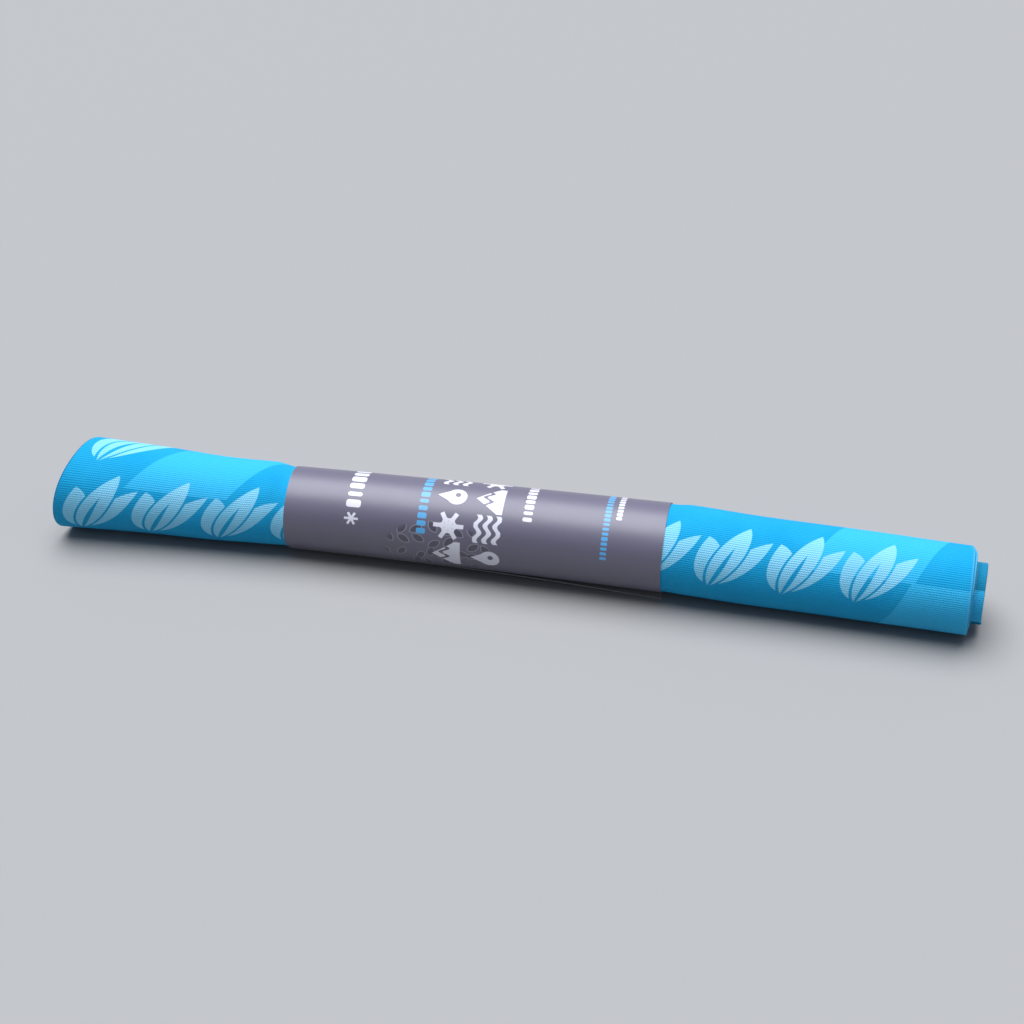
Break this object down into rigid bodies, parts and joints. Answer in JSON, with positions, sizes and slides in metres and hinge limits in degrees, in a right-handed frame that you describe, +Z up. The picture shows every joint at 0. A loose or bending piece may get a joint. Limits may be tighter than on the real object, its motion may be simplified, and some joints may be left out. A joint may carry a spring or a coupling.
{
  "type": "neck gaiter",
  "caption": "Seamless knitted tube scarf, pressed flat and rolled into a slim roll, held by a printed card sleeve that slides off over either end.",
  "frame": {"origin": "under the middle of the object's box, on the surface that it rests on", "axes": "+X along the roll, towards the end where the inner turns stand out; +Z up; the roll lies on the sleeve's glued lap, whose free edge is towards -Y"},
  "size_m": [0.2532, 0.025, 0.025],
  "materials": {
    "microfibre_knit": "matte",
    "printed_card": "satin",
    "hot_melt_glue": "satin"
  },
  "bodies": {
    "roll": {"gaiter_outer_turns": "microfibre_knit"},
    "core": {"gaiter_inner_turns": "microfibre_knit"},
    "sleeve": {"card_sleeve": "printed_card", "sleeve_glue_line": "hot_melt_glue"}
  },
  "joints": [
    {"name": "core_slide", "type": "slide", "parent": "roll", "child": "core", "axis": [1, 0, 0], "range_m": [-0.0064, 0.012]},
    {"name": "sleeve_slide", "type": "slide", "parent": "roll", "child": "sleeve", "axis": [1, 0, 0], "range_m": [-0.19, 0.21]}
  ]
}
